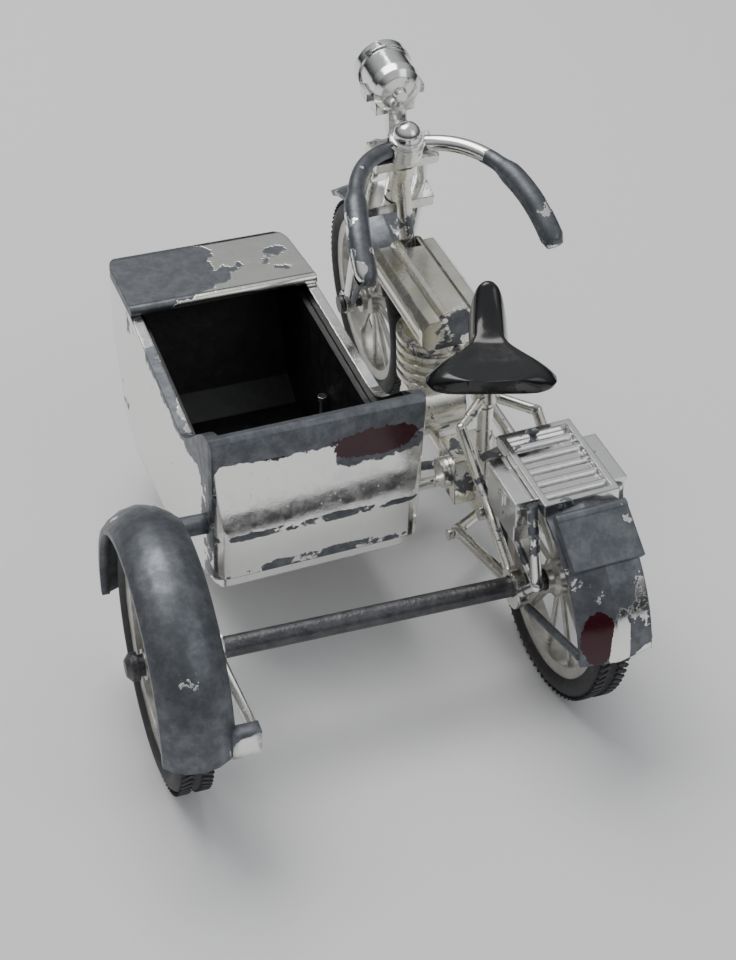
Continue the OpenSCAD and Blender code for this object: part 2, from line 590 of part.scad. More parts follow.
module headlamp() {
    color("silver") {
        at_lamp() difference() {
            rotate_extrude($fn = 64) polygon([[0, -0.55], [0.5, -0.55], [0.6, -0.1], [lamp_d * 0.33, 0], [lamp_d * 0.43, 0.5], [lamp_d * 0.46, 1.2],
                [lamp_d * 0.46, lamp_len - 1], [lamp_d / 2, lamp_len - 0.9], [lamp_d / 2, lamp_len], [0, lamp_len]]);
            translate([0, 0, lamp_len - 0.8]) cylinder(h = 2, d = lamp_d * 0.82);
        }
        // bracket down to the bar clamp, with a lug on each side of the lamp
        difference() {
            union() {
                fork() translate([-0.8, -1.7, nut_s - 1.0]) rotate([28, 0, 0]) translate([0, -0.9, 0]) cube([1.6, 0.9, 3.4]);
                at_lamp() for (s = [-1, 1]) translate([s * lamp_d * 0.46 - 0.35, -0.9, 0.9]) cube([0.7, 0.7, 1.6]);
                at_lamp() translate([-lamp_d * 0.36, -lamp_d * 0.5, 0.8]) cube([lamp_d * 0.72, 1.0, 1.2]);
            }
            at_lamp() translate([0, 0, 0.4]) cylinder(h = lamp_len, d = lamp_d * 0.8);
            fork() translate([0, 0, head_s]) cylinder(h = nut_s - head_s + 0.6, d = 3.3);
        }
    }
}
module lamp_lens() {
    color("lightcyan") at_lamp() translate([0, 0, lamp_len - 0.79]) {
        cylinder(h = 0.35, d = lamp_d * 0.82 - 0.04);
        translate([0, 0, 0.35]) cylinder(h = 0.3, d1 = lamp_d * 0.8, d2 = lamp_d * 0.5);
    }
}
module front_mudguard() {
    color("lightslategray") at_front() {
        around(front_a0, front_a1) roof_profile(front_guard_w, bike_in, guard_t, guard_ridge * 0.5);
        for (s = [-1, 1]) rod([s * front_guard_w / 2, (bike_in + 0.25) * cos(57), (bike_in + 0.25) * sin(57)], [s * (blade_x - 0.15), 1.14, 0.805], 0.55);
    }
}

// ---- sidecar (tub frame: x across, y forward, z up) ----
function wall_top(v) =
    let (a = 1.1, b = 8.6, t = v < a ? 0 : v > b ? 1 : (v - a) / (b - a), e = t * t * (3 - 2 * t),
         rise = v > b ? (v - b) / (cowl_v - b) * (cowl_z - cowl_t - side_z) : 0)
    min(cowl_z - cowl_t, tub_z + 0.35 - (tub_z + 0.35 - side_z) * e + rise) * (v > b ? 1 : 0)
    + (v > b ? 0 : tub_z + 0.35 - (tub_z + 0.35 - side_z) * e);
nose_low = tub_len - 5.4;
top_pts = 24;
// side view outline; lift raises its top line
function side_outline(lift) = concat(
    [[0.75 + 0.088 * lift, tub_z + lift], [0, sill_z + 3.8], [0, sill_z], [4, sill_z - 1.6], [11, belly_z], [nose_low - 2.5, belly_z],
        [nose_low + 0.4, belly_z + 2.2], [tub_len - 0.5 + 0.42 * max(0, lift), cowl_z - cowl_t + lift], [cowl_v, cowl_z - cowl_t + lift]],
    [for (i = [top_pts:-1:0]) let (v = 1.1 + 0.1 * lift + i * (cowl_v - 1.2 - 0.1 * lift) / top_pts) [v, wall_top(v) + lift]]);
function unit(v) = v / norm(v);
// every side of an outline moved in by g
function inset(p, g) = [for (i = [0:len(p) - 1]) let (
    a = p[(i + len(p) - 1) % len(p)], b = p[i], c = p[(i + 1) % len(p)],
    u = unit(b - a), w = unit(c - b), n1 = [-u[1], u[0]], n2 = [-w[1], w[0]])
    b + g * (n1 + n2) / (1 + n1 * n2)];
module side_solid(g, lift) {
    translate([-20, 0, 0]) rotate([90, 0, 90]) linear_extrude(40) polygon(inset(side_outline(lift), g));
}
// plan outline moved in by g
module tub_plan(g) {
    w0 = tub_w / 2 - g;
    w1 = nose_w / 2 - g;
    r = 3 - g;
    n = 10;
    l = tub_len + 0.3 - g;
    rr = 1.2 - g * 0.9;
    polygon(concat(
        [for (i = [0:4]) let (a = i * 90 / 4) [-w0 + rr - rr * sin(90 - a) , g + rr - rr * cos(90 - a)]],
        [for (i = [0:4]) let (a = i * 90 / 4) [w0 - rr + rr * sin(a), g + rr - rr * cos(a)]],
        [for (i = [0:n]) let (a = i * 90 / n) [w1 - r + r * cos(a), l - r + r * sin(a)]],
        [for (i = [0:n]) let (a = 90 + i * 90 / n) [-w1 + r + r * cos(a), l - r + r * sin(a)]]));
}
module plan_solid(g) { linear_extrude(40) tub_plan(g); }
module sidecar_tub() {
    color("silver") tub() difference() {
        intersection() { side_solid(0, 0); plan_solid(0); }
        // hollow, open at the top
        intersection() { side_solid(wall, 3); plan_solid(wall); }
    }
}
module sidecar_cowl() {
    color("lightgray") tub() {
        intersection() {
            plan_solid(0);
            translate([-20, 0, 0]) rotate([90, 0, 90]) linear_extrude(40) polygon([[cowl_v, cowl_z - cowl_t], [tub_len - 0.5, cowl_z - cowl_t], [tub_len - 0.3, cowl_z - cowl_t * 0.6],
                [tub_len - 0.7, cowl_z - 0.15], [tub_len - 1.3, cowl_z], [cowl_v, cowl_z]]);
        }
        // rolled edge
        intersection() {
            translate([0, cowl_v, cowl_z - cowl_t / 2]) bar_x(-nose_w, nose_w, cowl_t * 1.15);
            plan_solid(0);
            translate([-20, 0, cowl_z - cowl_t]) cube([40, 40, 2]);
        }
    }
}
module sidecar_insert() {
    g = wall + 0.04;
    color([0.12, 0.12, 0.12]) tub() difference() {
        intersection() { side_solid(g, 3); side_solid(0, -1); plan_solid(g); }
        intersection() { side_solid(g + insert_t, 3.2); plan_solid(g + insert_t); }
    }
}
seat_v = 1.2 + wall + insert_t;
seat_z = 12.2;
module sidecar_seat() {
    w = tub_w - 2 * (wall + insert_t) - 0.7;
    under = (wall + insert_t) * 1.09 + 0.12;
    color([0.2, 0.2, 0.2]) tub() difference() {
        union() {
            translate([-w / 2, 0, 0]) rotate([90, 0, 90]) linear_extrude(w) polygon([[seat_v + 0.2, seat_z], [seat_v + 0.2, sill_z - 0.4 * (seat_v + 0.2) + under],
                [4, sill_z - 1.6 + under], [seat_v + 8.2, sill_z - 1.6 - (sill_z - 1.6 - belly_z) * (seat_v + 4.2) / 7 + under], [seat_v + 8.2, seat_z]]);
            translate([-w / 2, seat_v + 0.2, seat_z - 0.1]) rotate([90, 0, 90]) linear_extrude(w) polygon([[0, 0], [2.3, 0], [1.9, 4.6], [1.5, 5.0], [0.5, 5.0], [0.1, 4.6]]);
        }
        for (i = [1:5]) translate([-w / 2 + i * w / 6, seat_v + 2.9, seat_z]) rotate([-90, 0, 0]) cylinder(h = 6, d = 0.4, $fn = 16);
        for (i = [1:5]) translate([-w / 2 + i * w / 6, seat_v + 2.35, seat_z + 0.3]) rotate([5, 0, 0]) cylinder(h = 4.4, d = 0.4, $fn = 16);
    }
}
peg_pos = [6.2, 15.5];
module insert_peg() {
    color("white") tub() translate([peg_pos[0], peg_pos[1], belly_z + wall + 0.06 + insert_t]) {
        cylinder(h = 5.2, d = 0.5);
        translate([0, 0, 5.2]) cylinder(h = 0.45, d = 0.8);
    }
}
module sidecar_keel() {
    g = 0.9;
    color("lightgray") tub() {
        intersection() {
            translate([-20, 0, 0]) rotate([90, 0, 90]) linear_extrude(40) polygon([[g, sill_z - 0.4 * g - 0.03], [g, sill_z - 1.6], [3.4, sill_z - 3.1], [10, belly_z - 1.2], [nose_low - 3, belly_z - 1.2], [nose_low - 1.6, belly_z - 0.03],
                [11, belly_z - 0.03], [4, sill_z - 1.63]]);
            plan_solid(g);
        }
    }
}
// strut that ties the sidecar to the frame's cradle
strut_y = -18.8;
module sidecar_strut() {
    color("gray") difference() {
        union() {
            whole() translate([0, strut_y, 0]) {
                rod([tube_d / 2 + 0.4, 0, cradle_z], [tub_x - tub_w / 2 + 2.2, 0, belly_z - 0.65], 1.0);
            }
        }
        tub() union() { plan_keel_cut(); }
    }
}
module plan_keel_cut() {
    translate([0, 0, belly_z - 1.2]) linear_extrude(1.25) tub_plan(0.88);
}
module sidecar_mudguard() {
    w = side_guard_w;
    rad = 1.5;
    color("slategray") {
        whole() translate([track - side_guard_in, 0, wheel_r]) {
            around(-9, 178) difference() {
                // rounded channel section
                union() {
                    polygon([[guard_in - 0.75, -w / 2], [guard_out - 0.85, -w / 2], [guard_out - 0.35, -w / 2 + 0.5], [guard_out + 0.15, -w / 2 + 1.4], [guard_out + 0.35, 0],
                        [guard_out + 0.15, w / 2 - 1.4], [guard_out - 0.35, w / 2 - 0.5], [guard_out - 0.85, w / 2], [guard_in - 0.75, w / 2],
                        [guard_in - 0.75, w / 2 - guard_t], [guard_in - 0.5, w / 2 - guard_t], [guard_in - 0.1, w / 2 - guard_t - 0.8], [guard_in + 0.1, 0],
                        [guard_in - 0.1, -w / 2 + guard_t + 0.8], [guard_in - 0.5, -w / 2 + guard_t], [guard_in - 0.75, -w / 2 + guard_t]]);
                }
            }
            // lug at the tail, towards the tub
            translate([-w / 2 - 1.6, guard_in - 0.7, 0.3]) cube([2.0, 1.0, 2.2]);
        }
        // arm to the tub
        difference() {
            whole() translate([0, -tub_gap - 1.6, sill_z + 4.2]) bar_x(tub_x + tub_w / 2 - 1.2, track - side_guard_in - side_guard_w / 2 + 0.9, 1.6);
            tub() intersection() { side_solid(0, 0); plan_solid(0); }
            whole() translate([track, 0, wheel_r]) rotate([0, 90, 0]) cylinder(h = 20, r = guard_in - 0.9, center = true);
        }
    }
}
eye_x = track - side_guard_in - side_guard_w / 2 - 1.2;
module sidecar_stay() {
    color("silver") difference() {
        union() {
            at_side() translate([eye_x - track, 0, 0]) bar_x(-0.5, 0.5, axle_d + 1.4);
            whole() rod([eye_x, 0.9, wheel_r + 0.3], [eye_x - 0.25, guard_in - 0.9, wheel_r + 1.2], 0.8);
        }
        rear_axle_bore();
        whole() translate([track - side_guard_in, 0, wheel_r]) translate([-side_guard_w / 2 - 1.62, guard_in - 0.72, 0.2]) cube([2.2, 1.2, 2.4]);
    }
}

frame();
steering_fork();
fork_springs();
steering_nut();
handlebar();
bar_clamp();
headlamp();
lamp_lens();
front_mudguard();
front_axle();
front_rim();
front_tyre();
fuel_tank();
engine_crankcase();
engine_barrel();
gearbox();
exhaust();
footrests();
rear_mudguard();
luggage_rack();
rack_stays();
toolbox_left();
toolbox_right();
rear_plate();
saddle_post();
saddle();
side_rivets();
rear_axle();
rear_rim();
rear_tyre();
sidecar_tub();
sidecar_cowl();
sidecar_insert();
sidecar_seat();
sidecar_keel();
insert_peg();
sidecar_strut();
sidecar_mudguard();
sidecar_stay();
sidecar_rim();
sidecar_tyre();
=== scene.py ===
import math

import bmesh
import bpy
from mathutils import Matrix, Vector


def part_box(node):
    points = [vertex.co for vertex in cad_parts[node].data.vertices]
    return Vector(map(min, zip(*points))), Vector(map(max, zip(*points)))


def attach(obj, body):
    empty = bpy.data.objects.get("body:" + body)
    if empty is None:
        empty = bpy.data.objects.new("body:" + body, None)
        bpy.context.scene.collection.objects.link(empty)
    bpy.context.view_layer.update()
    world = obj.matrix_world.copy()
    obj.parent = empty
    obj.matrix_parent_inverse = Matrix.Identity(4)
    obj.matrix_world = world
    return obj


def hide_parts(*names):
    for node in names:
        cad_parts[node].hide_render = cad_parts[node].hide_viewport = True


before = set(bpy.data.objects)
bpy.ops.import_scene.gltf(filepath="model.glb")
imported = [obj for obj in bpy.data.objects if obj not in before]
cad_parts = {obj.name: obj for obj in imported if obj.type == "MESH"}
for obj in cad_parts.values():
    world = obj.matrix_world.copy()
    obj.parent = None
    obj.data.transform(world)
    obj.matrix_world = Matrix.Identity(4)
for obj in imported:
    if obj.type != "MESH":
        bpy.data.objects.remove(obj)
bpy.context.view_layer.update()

mm = 0.001

# ---- where things are: x to the sidecar, y to the rear, z up, from the rear wheel's foot ----
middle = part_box("rear_rim")
shiftX = (middle[0][0] + middle[1][0]) / 2
shiftY = (middle[0][1] + middle[1][1]) / 2


def at(x, y, z):
    return Vector((x * mm + shiftX, y * mm + shiftY, z * mm))


stance = {"lean": 4.0, "bikeX": 0.6, "wheelRadius": 9.5, "wheelbase": 41.0, "rake": 21.5, "forkOffset": 0.8, "track": 31.0}


def bikeMatrix():
    s = stance
    up = Matrix.Translation(Vector((0, 0, s["wheelRadius"])))
    lean = Matrix.Rotation(math.radians(s["lean"]), 4, "Y")
    return Matrix.Translation(Vector((s["bikeX"], 0, 0))) @ up @ lean @ up.inverted()


def forkMatrix():
    s = stance
    axisY = -s["wheelbase"] + s["forkOffset"] / math.cos(math.radians(s["rake"]))
    return bikeMatrix() @ Matrix.Translation(Vector((0, axisY, s["wheelRadius"]))) @ Matrix.Rotation(math.radians(-s["rake"]), 4, "X")


def toRow(matrix):
    return Matrix.Translation(Vector((shiftX, shiftY, 0))) @ Matrix.Diagonal((mm, mm, mm, 1)) @ matrix


# ---- shader helpers ----
def add(tree, kind, inputs=None, **props):
    node = tree.nodes.new(kind)
    for key, value in props.items():
        setattr(node, key, value)
    for key, value in (inputs or {}).items():
        if isinstance(value, bpy.types.NodeSocket):
            tree.links.new(value, node.inputs[key])
        else:
            node.inputs[key].default_value = value
    return node


def calc(tree, operation, a, b=0.0, clamp=False):
    return add(tree, "ShaderNodeMath", {0: a, 1: b}, operation=operation, use_clamp=clamp).outputs[0]


def ramp(tree, value, low, high, start=0.0, end=1.0):
    node = add(tree, "ShaderNodeMapRange", {"Value": value, "From Min": low, "From Max": high, "To Min": start, "To Max": end}, interpolation_type="SMOOTHSTEP")
    return node.outputs[0]


def blendColour(tree, factor, a, b, kind="MIX"):
    node = tree.nodes.new("ShaderNodeMix")
    node.data_type = "RGBA"
    node.blend_type = kind
    for index, value in ((0, factor), (6, a), (7, b)):
        if isinstance(value, bpy.types.NodeSocket):
            tree.links.new(value, node.inputs[index])
        else:
            node.inputs[index].default_value = value if index == 0 else (*value, 1.0)
    return node.outputs[2]


def newGroup(name, inputs, outputs):
    group = bpy.data.node_groups.new(name, "ShaderNodeTree")
    for label, kind, value in inputs:
        socket = group.interface.new_socket(label, in_out="INPUT", socket_type=kind)
        if value is not None:
            socket.default_value = value
    for label, kind in outputs:
        group.interface.new_socket(label, in_out="OUTPUT", socket_type=kind)
    return group, group.nodes.new("NodeGroupInput"), group.nodes.new("NodeGroupOutput")


def use(tree, group, inputs=None):
    node = tree.nodes.new("ShaderNodeGroup")
    node.node_tree = group
    for key, value in (inputs or {}).items():
        if isinstance(value, bpy.types.NodeSocket):
            tree.links.new(value, node.inputs[key])
        else:
            node.inputs[key].default_value = value
    return node


f, c, v = "NodeSocketFloat", "NodeSocketColor", "NodeSocketVector"


def makeFlaking():
    # where the plating has come off: Bias is how likely that is at a place
    group, given, out = newGroup("flakingPlating", [("Vector", v, None), ("Bias", f, 0.0), ("Scale", f, 0.25), ("Ragged", f, 0.6)], [("Bare", f), ("Lip", f), ("Speckle", f)])
    t = group
    broad = add(t, "ShaderNodeTexNoise", {"Vector": given.outputs["Vector"], "Scale": given.outputs["Scale"], "Detail": 8.0, "Roughness": given.outputs["Ragged"], "Distortion": 0.12})
    level = calc(t, "ADD", broad.outputs["Fac"], given.outputs["Bias"])
    t.links.new(ramp(t, level, 0.498, 0.508), out.inputs["Bare"])
    lip = calc(t, "MULTIPLY", ramp(t, level, 0.47, 0.492), ramp(t, level, 0.515, 0.496), True)
    t.links.new(lip, out.inputs["Lip"])
    fine = add(t, "ShaderNodeTexNoise", {"Vector": given.outputs["Vector"], "Scale": 3.2, "Detail": 4.0, "Roughness": 0.7})
    t.links.new(ramp(t, fine.outputs["Fac"], 0.6, 0.72), out.inputs["Speckle"])
    return group


def makeCasting():
    # unevenness of a small casting: waviness, pits and rubbing marks
    group, given, out = newGroup("castUnevenness", [("Vector", v, None), ("Waves", f, 0.5), ("Pits", f, 0.3)], [("Height", f), ("Dull", f), ("Tone", f)])
    t = group
    waves = add(t, "ShaderNodeTexNoise", {"Vector": given.outputs["Vector"], "Scale": 0.35, "Detail": 2.0})
    grain = add(t, "ShaderNodeTexNoise", {"Vector": given.outputs["Vector"], "Scale": 5.0, "Detail": 3.0, "Roughness": 0.6})
    cells = add(t, "ShaderNodeTexVoronoi", {"Vector": given.outputs["Vector"], "Scale": 1.6, "Randomness": 1.0}, feature="F1")
    pits = ramp(t, cells.outputs["Distance"], 0.14, 0.05)
    high = calc(t, "MULTIPLY", waves.outputs["Fac"], given.outputs["Waves"])
    high = calc(t, "ADD", high, calc(t, "MULTIPLY", grain.outputs["Fac"], 0.06))
    high = calc(t, "SUBTRACT", high, calc(t, "MULTIPLY", pits, given.outputs["Pits"]))
    t.links.new(high, out.inputs["Height"])
    smear = add(t, "ShaderNodeTexNoise", {"Vector": given.outputs["Vector"], "Scale": 0.9, "Detail": 6.0, "Roughness": 0.72})
    t.links.new(ramp(t, smear.outputs["Fac"], 0.35, 0.7), out.inputs["Dull"])
    t.links.new(waves.outputs["Fac"], out.inputs["Tone"])
    return group


def makeEdges():
    # softened edges, and a mask of where they are rubbed
    group, given, out = newGroup("rubbedEdges", [("Radius", f, 0.00018)], [("Normal", v), ("Edge", f)])
    t = group
    soft = add(t, "ShaderNodeBevel", {"Radius": given.outputs["Radius"]}, samples=4)
    flat = add(t, "ShaderNodeNewGeometry")
    dot = add(t, "ShaderNodeVectorMath", {0: soft.outputs["Normal"], 1: flat.outputs["Normal"]}, operation="DOT_PRODUCT").outputs["Value"]
    t.links.new(soft.outputs["Normal"], out.inputs["Normal"])
    t.links.new(ramp(t, dot, 0.992, 0.9), out.inputs["Edge"])
    return group


flaking = makeFlaking()
casting = makeCasting()
rubbed = makeEdges()


def coordinates(tree):
    # object coordinates in millimetres from the rear wheel's foot
    coord = add(tree, "ShaderNodeTexCoord")
    place = add(tree, "ShaderNodeMapping", {"Location": (-shiftX / mm, -shiftY / mm, 0), "Scale": (1 / mm, 1 / mm, 1 / mm)})
    tree.links.new(coord.outputs["Object"], place.inputs["Vector"])
    return place.outputs["Vector"], coord.outputs["Normal"]


def patches(tree, vector, spots):
    # each spot: middle, reach along x, y, z, strength
    total = None
    for middlePoint, reach, strength in spots:
        offset = add(tree, "ShaderNodeVectorMath", {0: vector, 1: middlePoint}, operation="SUBTRACT").outputs[0]
        scaled = add(tree, "ShaderNodeVectorMath", {0: offset, 1: reach}, operation="DIVIDE").outputs[0]
        away = add(tree, "ShaderNodeVectorMath", {0: scaled}, operation="LENGTH").outputs["Value"]
        value = calc(tree, "MULTIPLY", ramp(tree, away, 1.15, 0.5), strength)
        total = value if total is None else calc(tree, "ADD", total, value)
    return total


platingTone = {"bright": (0.86, 0.855, 0.83), "yellowed": (0.80, 0.76, 0.60), "zinc": (0.105, 0.114, 0.128), "zincLight": (0.18, 0.19, 0.205), "lacquer": (0.042, 0.004, 0.009)}


def platedMetal(name, bareLevel=-0.12, spots=(), lacquer=(), yellow=0.0, scale=0.25, ragged=0.62, edgeWear=0.2, dull=0.085, bumps=0.35, edge=0.00018):
    mat = bpy.data.materials.new(name)
    mat.use_nodes = True
    t = mat.node_tree
    shader = t.nodes["Principled BSDF"]
    vector, normal = coordinates(t)
    edges = use(t, rubbed, {"Radius": edge})
    cast = use(t, casting, {"Vector": vector, "Waves": 0.6, "Pits": 0.15})
    bias = calc(t, "ADD", calc(t, "MULTIPLY", edges.outputs["Edge"], edgeWear), bareLevel)
    if spots:
        bias = calc(t, "ADD", bias, patches(t, vector, spots))
    flakes = use(t, flaking, {"Vector": vector, "Bias": bias, "Scale": scale, "Ragged": ragged})
    bare = flakes.outputs["Bare"]
    stain = ramp(t, cast.outputs["Tone"], 0.4, 0.65)
    plate = blendColour(t, calc(t, "MULTIPLY", calc(t, "ADD", calc(t, "MULTIPLY", stain, 0.6), 0.4), yellow), platingTone["bright"], platingTone["yellowed"])
    plate = blendColour(t, calc(t, "MULTIPLY", flakes.outputs["Speckle"], 0.25), plate, (0.3, 0.29, 0.27))
    zinc = blendColour(t, cast.outputs["Dull"], platingTone["zinc"], platingTone["zincLight"])
    under = zinc
    rough = calc(t, "ADD", calc(t, "MULTIPLY", cast.outputs["Dull"], -0.08), 0.46)
    metal = calc(t, "ADD", 0.75, 0.0)
    if lacquer:
        red = use(t, flaking, {"Vector": vector, "Bias": calc(t, "ADD", patches(t, vector, lacquer), -0.3), "Scale": scale * 3.0, "Ragged": 0.8}).outputs["Bare"]
        under = blendColour(t, red, zinc, platingTone["lacquer"])
        rough = calc(t, "SUBTRACT", rough, calc(t, "MULTIPLY", red, 0.28))
        metal = calc(t, "SUBTRACT", 0.75, calc(t, "MULTIPLY", red, 0.7))
    colour = blendColour(t, bare, plate, under)
    colour = blendColour(t, calc(t, "MULTIPLY", flakes.outputs["Lip"], 0.35), colour, (0.95, 0.95, 0.93))
    t.links.new(colour, shader.inputs["Base Color"])
    shine = calc(t, "ADD", calc(t, "MULTIPLY", cast.outputs["Dull"], 0.11), dull)
    mixRough = add(t, "ShaderNodeMix", {0: bare, 2: shine, 3: rough})
    t.links.new(mixRough.outputs[0], shader.inputs["Roughness"])
    mixMetal = add(t, "ShaderNodeMix", {0: bare, 2: 1.0, 3: metal})
    t.links.new(mixMetal.outputs[0], shader.inputs["Metallic"])
    height = calc(t, "SUBTRACT", calc(t, "MULTIPLY", cast.outputs["Height"], bumps), calc(t, "MULTIPLY", bare, 0.25))
    bump = add(t, "ShaderNodeBump", {"Height": height, "Normal": edges.outputs["Normal"], "Strength": 0.55, "Distance": 0.00022})
    t.links.new(bump.outputs[0], shader.inputs["Normal"])
    return mat


def plainStuff(name, colour, roughness, metallic=0.0, grain=2.0, depth=0.1, vary=0.25, coat=0.0, edge=0.00015, dust=0.0):
    mat = bpy.data.materials.new(name)
    mat.use_nodes = True
    t = mat.node_tree
    shader = t.nodes["Principled BSDF"]
    vector, normal = coordinates(t)
    edges = use(t, rubbed, {"Radius": edge})
    cast = use(t, casting, {"Vector": vector, "Waves": 0.3, "Pits": 0.1})
    tone = blendColour(t, calc(t, "MULTIPLY", cast.outputs["Dull"], vary), colour, tuple(min(1.0, k * 1.8 + 0.02) for k in colour))
    if dust:
        fine = add(t, "ShaderNodeTexNoise", {"Vector": vector, "Scale": 1.4, "Detail": 6.0, "Roughness": 0.75})
        tone = blendColour(t, calc(t, "MULTIPLY", ramp(t, fine.outputs["Fac"], 0.5, 0.75), dust), tone, (0.3, 0.29, 0.27))
    t.links.new(tone, shader.inputs["Base Color"])
    t.links.new(calc(t, "ADD", calc(t, "MULTIPLY", cast.outputs["Dull"], 0.12), roughness), shader.inputs["Roughness"])
    shader.inputs["Metallic"].default_value = metallic
    shader.inputs["Coat Weight"].default_value = coat
    shader.inputs["Coat Roughness"].default_value = 0.08
    fineGrain = add(t, "ShaderNodeTexNoise", {"Vector": vector, "Scale": grain, "Detail": 3.0})
    height = calc(t, "ADD", calc(t, "MULTIPLY", fineGrain.outputs["Fac"], depth), calc(t, "MULTIPLY", cast.outputs["Height"], depth))
    bump = add(t, "ShaderNodeBump", {"Height": height, "Normal": edges.outputs["Normal"], "Strength": 0.5, "Distance": 0.0002})
    t.links.new(bump.outputs[0], shader.inputs["Normal"])
    return mat


# ---- finishes ----
finishes = {
    "tub": platedMetal("flakedTubPlating", bareLevel=-0.14, scale=0.24, ragged=0.72,
                       spots=[((17.0, -8.0, 22.2), (40.0, 3.0, 3.1), 0.55), ((25.8, -16.0, 20.2), (1.6, 12.0, 3.8), 0.34), ((16.5, -7.6, 12.9), (12.0, 1.5, 0.5), 0.19), ((16.5, -7.6, 9.4), (12.0, 1.5, 0.7), 0.16),
                              ((25.5, -9.0, 15.0), (1.0, 2.0, 9.0), 0.2), ((12.0, -8.0, 18.4), (4.5, 2.0, 1.6), 0.28)],
                       lacquer=[((12.4, -8.0, 18.9), (4.6, 2.5, 1.5), 0.55), ((21.0, -8.0, 18.7), (5.0, 2.5, 0.9), 0.45)]),
    "cowl": platedMetal("flakedCowlPlating", bareLevel=-0.12, scale=0.16, ragged=0.5, spots=[((25.5, -34.0, 20.0), (8.2, 7.5, 3.0), 0.42)], yellow=0.35),
    "guard": platedMetal("rubbedGuardZinc", bareLevel=0.2, scale=0.3, ragged=0.62, dull=0.12, bumps=0.2, edge=0.0009,
                         spots=[((29.0, -7.0, 17.6), (2.0, 3.6, 3.0), -0.32), ((27.4, 9.8, 10.2), (2.4, 3.0, 2.2), -0.42), ((30.5, 1.6, 20.2), (0.7, 1.2, 1.6), -0.22)]),
    "bikeGuard": platedMetal("rubbedBikeGuard", bareLevel=0.12, scale=0.32, ragged=0.66, spots=[((0.6, 10.6, 12.0), (0.9, 2.0, 3.4), -0.36), ((-1.6, 10.5, 10.0), (1.4, 2.0, 1.8), -0.3)],
                             lacquer=[((2.2, 10.4, 13.0), (1.6, 2.5, 2.6), 0.6)]),
    "bar": platedMetal("rubbedBarZinc", bareLevel=0.1, scale=0.35, ragged=0.6, spots=[((-2.5, -32.0, 31.0), (4.2, 4.5, 4.0), -0.32)]),
    "frame": platedMetal("dulledFramePlating", bareLevel=-0.07, scale=0.45, ragged=0.68, yellow=0.6, dull=0.2, edgeWear=0.12),
    "bright": platedMetal("wornBrightPlating", bareLevel=-0.14, scale=0.4, ragged=0.65, edgeWear=0.16),
    "tank": platedMetal("yellowedTankPlating", bareLevel=-0.16, scale=0.3, ragged=0.6, yellow=0.9, dull=0.18, spots=[((1.0, -20.0, 19.0), (3.0, 1.2, 3.0), 0.2)]),
    "rack": platedMetal("wornRackPlating", bareLevel=-0.1, scale=0.4, ragged=0.6, edgeWear=0.22),
    "rough": platedMetal("halfPlatedZinc", bareLevel=0.02, scale=0.35, ragged=0.66),
    "rim": plainStuff("dullRimPlating", (0.42, 0.41, 0.38), 0.28, metallic=1.0, vary=0.4),
    "rubber": plainStuff("blackTyreRubber", (0.018, 0.018, 0.02), 0.55, grain=3.0, depth=0.25, dust=0.12),
    "saddle": plainStuff("glossBlackSaddle", (0.0035, 0.0035, 0.004), 0.13, coat=0.25, grain=0.6, depth=0.1, vary=0.05),
    # painted shade: the seat and liner are made near black to stand in for the shade inside the tub, not a known colour
    # of these parts
    "insert": plainStuff("paintedShadeInteriorBlack", (0.008, 0.008, 0.009), 0.42, grain=0.8, depth=0.5, vary=0.3, dust=0.06),
    "axle": plainStuff("scratchedAxleSteel", (0.085, 0.085, 0.09), 0.4, metallic=1.0, grain=4.0, depth=0.5, vary=0.7),
    "lens": plainStuff("lampLens", (0.55, 0.56, 0.54), 0.1, coat=0.5),
}
print("finishes made:", len(finishes))

finishOf = {
    "tub": ["sidecar_tub", "sidecar_keel"], "cowl": ["sidecar_cowl"], "guard": ["sidecar_mudguard"], "bikeGuard": ["rear_mudguard", "front_mudguard", "rear_plate"],
    "bar": ["handlebar"], "tank": ["fuel_tank"], "rack": ["luggage_rack"], "rough": ["footrests", "rack_stays"],
    "frame": ["frame", "gearbox", "engine_crankcase", "engine_barrel", "saddle_post"],
    "bright": ["steering_fork", "fork_springs", "steering_nut", "bar_clamp", "headlamp", "exhaust", "toolbox_left", "toolbox_right", "side_rivets", "sidecar_strut", "sidecar_stay", "insert_peg"],
    "rim": ["front_rim", "rear_rim", "sidecar_rim"], "rubber": ["front_tyre", "rear_tyre", "sidecar_tyre"], "saddle": ["saddle"],
    "insert": ["sidecar_insert", "sidecar_seat"], "axle": ["rear_axle", "front_axle"], "lens": ["lamp_lens"],
}
for finish, nodes in finishOf.items():
    for nodeName in nodes:
        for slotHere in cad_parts[nodeName].material_slots:
            slotHere.material = finishes[finish]
print("finishes given to the frame's pieces")


# ---- mesh helpers ----
def newPiece(name, verts, faces, matrix, finish, smooth=True):
    mesh = bpy.data.meshes.new(name)
    mesh.from_pydata([matrix @ Vector(p) for p in verts], [], faces)
    mesh.update()
    piece = bpy.data.objects.new(name, mesh)
    bpy.context.collection.objects.link(piece)
    shell = bmesh.new()
    shell.from_mesh(mesh)
    bmesh.ops.remove_doubles(shell, verts=shell.verts, dist=1e-7)
    bmesh.ops.recalc_face_normals(shell, faces=shell.faces)
    shell.to_mesh(mesh)
    shell.free()
    for face in mesh.polygons:
        face.use_smooth = smooth
    mesh.materials.append(finishes[finish])
    return piece


def finished(piece):
    # modifiers turned into a plain mesh
    graph = bpy.context.evaluated_depsgraph_get()
    mesh = bpy.data.meshes.new_from_object(piece.evaluated_get(graph))
    piece.modifiers.clear()
    piece.data = mesh
    return piece


# ---- tyres with a ribbed tread ----
tyre = {"radius": 9.5, "seat": 7.7, "width": 2.8, "ribs": 84, "ribDepth": 0.15, "ribLength": 0.85, "ribWidth": 0.34, "steps": 168}


